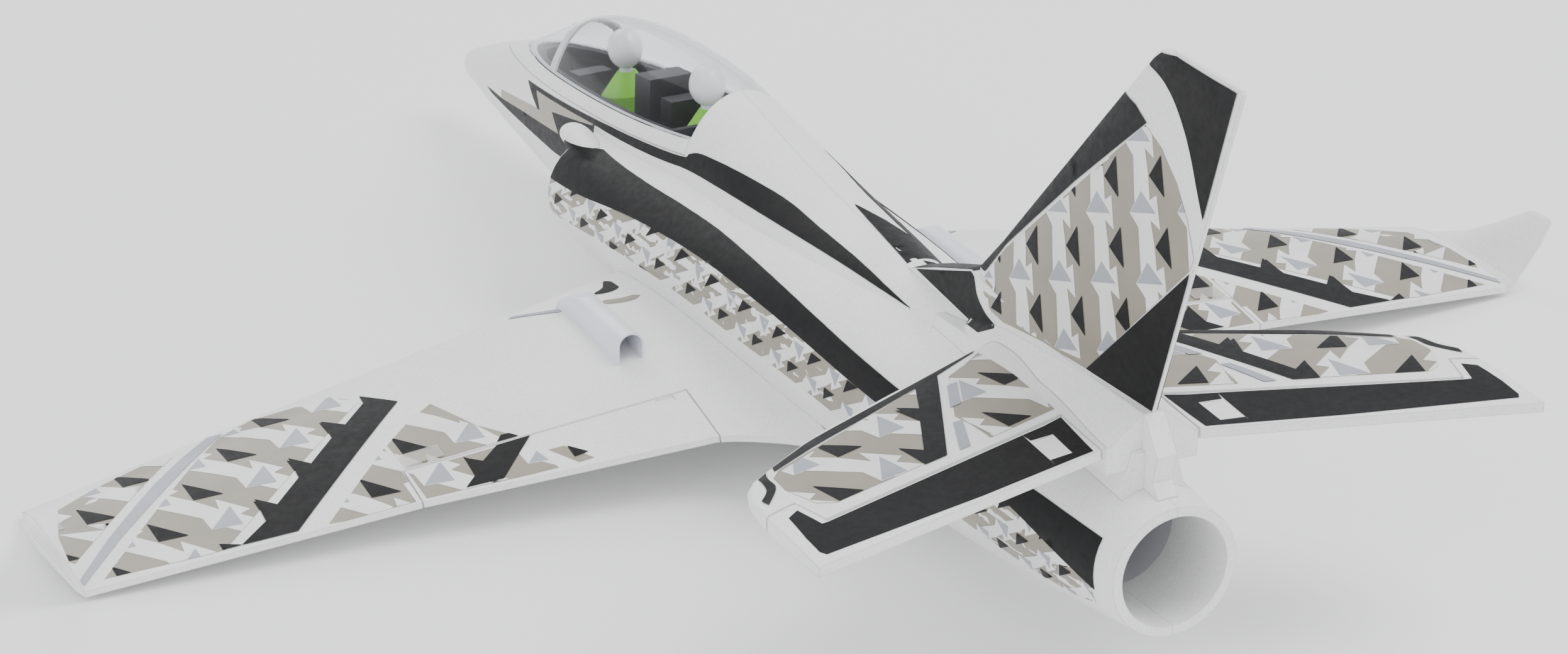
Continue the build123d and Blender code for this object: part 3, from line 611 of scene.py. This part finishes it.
    foot = smooth(
        [
            (-134.4, 46), (-100, 50.5), (-60, 54.4), (-3, 56.6), (45, 54.8), (92, 53.4), (150, 49.5),
            (200, 44), (260, 40.5), (300, 42), (320, 47),
        ],
        5,
    )
    stations = [
        -134.2, -112, -90, -70, -50, -30, -10, 15, 40, 65, 90, 115, 140, 162, 185, 210, 235, 262, 278,
        292, 306, 319,
    ]
    shapes = []
    for a, b in zip(stations, stations[1:]):
        quad = [
            (a, line_at(foot, a)), (b, line_at(foot, b)), (b, line_at(low_line, b) + 0.3),
            (a, line_at(low_line, a) + 0.3),
        ]
        shapes += camo(quad, (46, 64), (12, -11), (17, 10))
    lay(f"nacelle_print_{side}", flank, shapes, INKS, "airframe", 0.10, 5)
    ridge = smooth(
        [
            (-120, 89.6), (-84, 94.8), (-49, 99.8), (-44, 102.6), (-34, 105.6), (-5, 107.8),
            (30, 107.8), (64, 105.4), (106, 102.8), (143, 99),
        ],
        4,
    )
    under = smooth(
        [
            (-140, 83.6), (-120, 86), (-72, 92), (-42, 96), (-18, 98), (10, 99.2), (59, 100), (99, 100),
            (143, 98.8),
        ],
        4,
    )
    lay(f"flank_stripe_{side}", pod_side, [(ridge + under[::-1], 0)], [BLACK], "airframe", 0.3, 4)
    bolt_top = [(-240, 69.6), (-120, 89.6), (-126, 85.8), (-224, 70.2), (-216, 63), (-219.5, 62.4)]
    bolt_low = [
        (-307, 42.2), (-280, 45.4), (-240, 52.8), (-186, 61.6), (-197, 69), (-143, 82), (-139, 83.8),
        (-139, 60), (-160, 54), (-196, 49), (-235, 46), (-271, 43), (-298, 41.6),
    ]
    bolt_tan = [
        (-281, 49.6), (-219.5, 62.6), (-228, 69.6), (-224, 70.4), (-124, 87), (-197, 69), (-186, 61.5),
        (-240, 52.6), (-281, 45.6),
    ]
    lay(f"nose_bolt_tan_{side}", pod_side, [(bolt_tan, 0)], [TAN], "airframe", 0.14, 5)
    lay(
        f"nose_bolt_black_{side}", pod_side, [(bolt_top, 0), (bolt_low, 0)], [BLACK], "airframe", 0.24,
        5,
    )

# black panel along the spine in front of the fin
spine_left = smooth([(-3, 58), (-0.5, 86), (3, 118), (8, 150), (13, 176)], 4)
spine_right = smooth([(-3.5, 58), (-13, 81), (-19, 102), (-19, 140), (-13, 176)], 4)
spine_front = [q for q in spine_left if q[1] <= 118] + [q for q in spine_right if q[1] <= 118][::-1]
lay(
    "spine_black", Surface(["fuselage_left", "fuselage_right"], "top"), [(spine_front, 0)], [BLACK],
    "airframe", 0.3, 5,
)
pylon_top = [(-4.3, 114), (4.3, 114), (4.3, 177.5), (-4.3, 177.5)]
lay("pylon_black", Surface(["tail_block"], "top"), [(pylon_top, 0)], [BLACK], "airframe", 0.3, 5)
spine_side = [
    (-4.9, 117), (-4.9, 150), (-6, 172), (-13, 176),
] + [q for q in spine_right if 117 <= q[1] < 175][::-1]
lay(
    "spine_side_black", Surface(["fuselage_right"], "top"), [(spine_side, 0)], [BLACK], "airframe", 0.3,
    5,
)

# clear tape over the outer end of each aileron hinge
TAPE = Mat("hinge_tape", (0.9, 0.88, 0.8, 1), 0.12, IOR=1.45, Transmission_Weight=0.75)
wrinkle = TAPE.noise(160, 3)
TAPE.bump([(wrinkle, "Fac", 1.0)], 0.5, 0.0004)
for side, mirror in (("left", False), ("right", True)):
    patch = [(186, 37), (203.6, 36), (203.8, 44.9), (186.4, 46)]
    lay(
        f"hinge_tape_{side}", Surface([f"wing_{side}"], "top", mirror), [(patch, 0)], [TAPE.m],
        "airframe", 0.75, 6,
    )

# ---- studio floor ---------------------------------------------------------------
bpy.ops.mesh.primitive_plane_add(size=9, location=(0, 0, -0.0004))
floor = bpy.context.active_object
floor.name = "studio_floor"
paper = Mat("floor_paper", (0.97, 0.97, 0.97, 1), 0.9)
weave = paper.noise(700, 2)
paper.bump([(weave, "Fac", 1.0)], 0.05, 0.0002)
floor.data.materials.append(paper.m)
